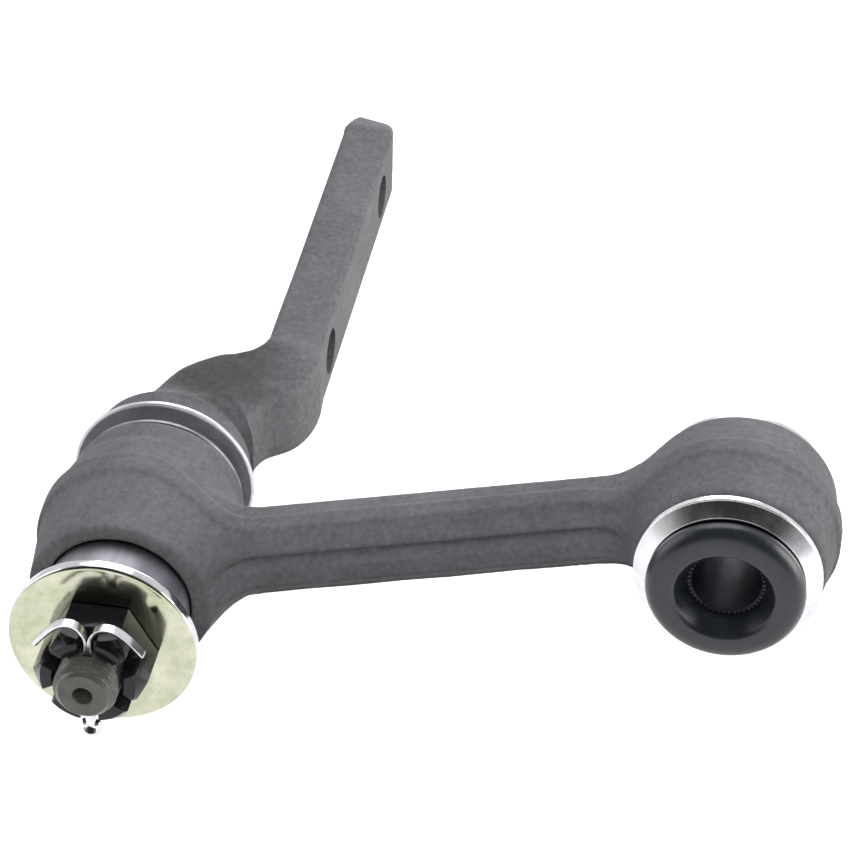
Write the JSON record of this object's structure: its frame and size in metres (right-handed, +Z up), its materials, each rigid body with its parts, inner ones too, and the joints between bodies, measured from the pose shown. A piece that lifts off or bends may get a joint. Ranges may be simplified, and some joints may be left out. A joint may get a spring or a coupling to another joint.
{
  "type": "idler arm",
  "caption": "Steering idler arm: forged frame bracket with spindle, castle nut and split pin, a forged arm swinging on rubber bushes, and a rubber bushed link eye.",
  "frame": {"origin": "middle of the bracket's flat bolt face, halfway between its two bolt holes", "axes": "+X out of the bolt face toward the vehicle frame rail, +Y along the pivot axis away from the castle nut, +Z up"},
  "size_m": [0.18, 0.2279, 0.0822],
  "materials": {
    "forged_steel": "shot-blasted dark grey forging",
    "bright_steel": "turned or drawn, bright",
    "yellow_zinc": "glossy pale yellow zinc plate",
    "clear_zinc": "glossy clear zinc plate",
    "black_oxide": "glossy black oxide",
    "black_rubber": "satin black rubber"
  },
  "bodies": {
    "bracket": {"bracket": "forged_steel", "pivot_inner_sleeve": "bright_steel", "rear_cup_washer": "clear_zinc", "front_washer": "yellow_zinc", "castle_nut": "black_oxide", "cotter_pin": "clear_zinc"},
    "arm": {"idler_arm": "forged_steel", "front_bush_shell": "bright_steel", "front_bush_rubber": "black_rubber", "rear_bush_shell": "bright_steel", "rear_bush_rubber": "black_rubber", "link_front_shell": "clear_zinc", "link_front_rubber": "black_rubber", "link_rear_shell": "clear_zinc", "link_rear_rubber": "black_rubber"},
    "link_sleeve": {"link_inner_sleeve": "bright_steel"}
  },
  "joints": [
    {"name": "arm_swing", "type": "hinge", "parent": "bracket", "child": "arm", "pos_m": [-0.0295, -0.11207, -0.0045], "axis": [0, 1, 0], "range_deg": [-40, 40], "stiffness_Nm_per_rad": 40},
    {"name": "link_sleeve_twist", "type": "hinge", "parent": "arm", "child": "link_sleeve", "pos_m": [0.10547, -0.12878, 0.03268], "axis": [0, 1, 0], "range_deg": [-40, 40], "stiffness_Nm_per_rad": 0.2}
  ]
}
